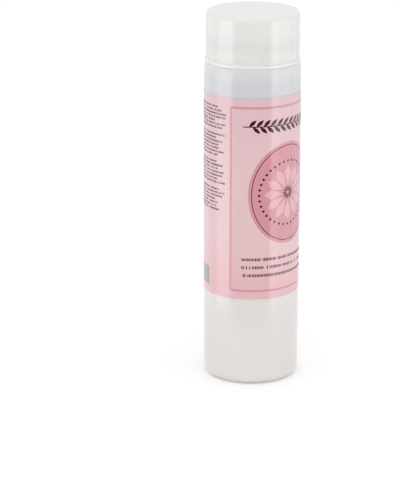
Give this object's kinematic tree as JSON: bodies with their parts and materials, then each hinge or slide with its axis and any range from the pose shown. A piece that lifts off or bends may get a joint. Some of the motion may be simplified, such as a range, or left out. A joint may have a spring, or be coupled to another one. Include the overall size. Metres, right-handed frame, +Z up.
{
  "type": "nail polish remover bottle",
  "caption": "Tall frosted round bottle with a wrap label, a push-down dish pump that wets a cotton pad, and a pull-off overcap of the bottle's own width.",
  "frame": {"origin": "centre of the ring that the bottle stands on, at table height", "axes": "+Z up along the bottle's axis; the front of the label faces -Y and +X is to the right of it"},
  "size_m": [0.0512, 0.0512, 0.1989],
  "materials": {
    "frosted_bottle": "frosted, translucent",
    "label_film": "satin printed film",
    "frosted_closure": "smooth, slightly translucent",
    "gasket_foam": "matt closed-cell foam",
    "natural_plastic": "natural, unpigmented",
    "tube_plastic": "extruded, translucent",
    "steel": "bright drawn stainless steel",
    "white_plastic": "satin moulded",
    "frosted_cap": "frosted, translucent"
  },
  "bodies": {
    "bottle": {"bottle": "frosted_bottle", "label": "label_film"},
    "pump": {"neck_gasket": "gasket_foam", "pump_housing": "natural_plastic", "stem_guide": "natural_plastic", "ball_cage": "natural_plastic", "return_spring": "steel", "dip_tube": "tube_plastic"},
    "closure": {"closure": "frosted_closure"},
    "plunger": {"dish": "white_plastic", "outlet_button": "white_plastic", "stem": "natural_plastic", "valve_rod": "natural_plastic"},
    "piston": {"piston": "natural_plastic"},
    "inlet_ball": {"inlet_ball": "steel"},
    "overcap": {"overcap": "frosted_cap"}
  },
  "joints": [
    {"name": "pump_lift", "type": "slide", "parent": "bottle", "child": "pump", "axis": [0, 0, 1], "range_m": [0, 0.00525]},
    {"name": "closure_turn", "type": "hinge", "parent": "pump", "child": "closure", "pos_m": [0, 0, 0.178], "axis": [0, 0, 1], "range_deg": [0, 450]},
    {"name": "dish_press", "type": "slide", "parent": "pump", "child": "plunger", "axis": [0, 0, -1], "range_m": [0, 0.005], "stiffness_N_per_m": 700, "springref_m": -0.004, "deforming": ["return_spring"]},
    {"name": "piston_slip", "type": "slide", "parent": "plunger", "child": "piston", "axis": [0, 0, 1], "range_m": [0, 0.001]},
    {"name": "ball_lift", "type": "slide", "parent": "pump", "child": "inlet_ball", "axis": [0, 0, 1], "range_m": [0, 0.001]},
    {"name": "overcap_lift", "type": "slide", "parent": "closure", "child": "overcap", "axis": [0, 0, 1], "range_m": [0, 0.03]}
  ],
  "couplings": [
    {"joint": "closure_turn", "follows": "pump_lift", "rad_per_m": 1496},
    {"joint": "piston_slip", "follows": "dish_press", "ratio": 0.2}
  ]
}
